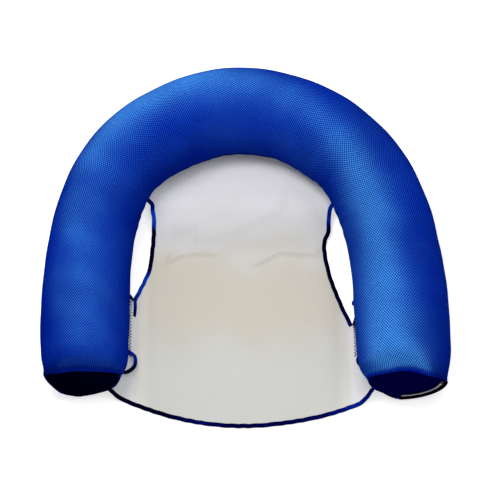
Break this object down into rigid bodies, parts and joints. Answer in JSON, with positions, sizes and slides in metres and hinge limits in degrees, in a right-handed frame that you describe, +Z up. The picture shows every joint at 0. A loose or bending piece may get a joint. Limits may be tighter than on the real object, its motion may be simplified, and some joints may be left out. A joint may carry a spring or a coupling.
{
  "type": "u-shaped pool float",
  "caption": "U-shaped pool float: a bead-filled mesh tube bent into a U, with a mesh sling seat sewn inside it, tape-bound side openings, hang loops and a zip in one round end.",
  "frame": {"origin": "centre of the bounding box, at the floor that the float stands on", "axes": "+Z up; the arc of the U is at +Y and the legs point to -Y; the left leg, seen from the open end with the arc behind, is at -X"},
  "size_m": [0.913, 0.8349, 0.196],
  "materials": {
    "blue_mesh": "woven mesh, soft",
    "navy_mesh": "woven mesh, matt",
    "seat_mesh": "fine off-white mesh, matt",
    "navy_tape": "ribbed tape, matt",
    "zip_tape": "woven tape, matt",
    "zip_coil": "satin",
    "zip_metal": "satin",
    "foam_beads": "foam beads, matt"
  },
  "bodies": {
    "float": {"bead_fill": "foam_beads", "binding_tail_left": "navy_tape", "cover_bottom": "blue_mesh", "cover_top": "blue_mesh", "end_panel_left": "navy_mesh", "end_panel_right": "navy_mesh", "front_binding": "navy_tape", "loop_left": "navy_tape", "loop_right": "navy_tape", "seat_panel": "seat_mesh", "side_binding_left": "navy_tape", "side_binding_right": "navy_tape", "tab_binding_left": "navy_tape", "zip_coil_cover_side": "zip_coil", "zip_coil_end_side": "zip_coil", "zip_stop_end": "zip_metal", "zip_stop_start": "zip_metal", "zip_tape_cover_side": "zip_tape", "zip_tape_end_side": "zip_tape"},
    "slider": {"zip_slider": "zip_metal"}
  },
  "joints": [
    {"name": "zip_travel", "type": "hinge", "parent": "float", "child": "slider", "pos_m": [0.36387, -0.33917, 0.096], "axis": [-0.0642, 0.9933, -0.0959], "range_deg": [0, 88.5]}
  ]
}
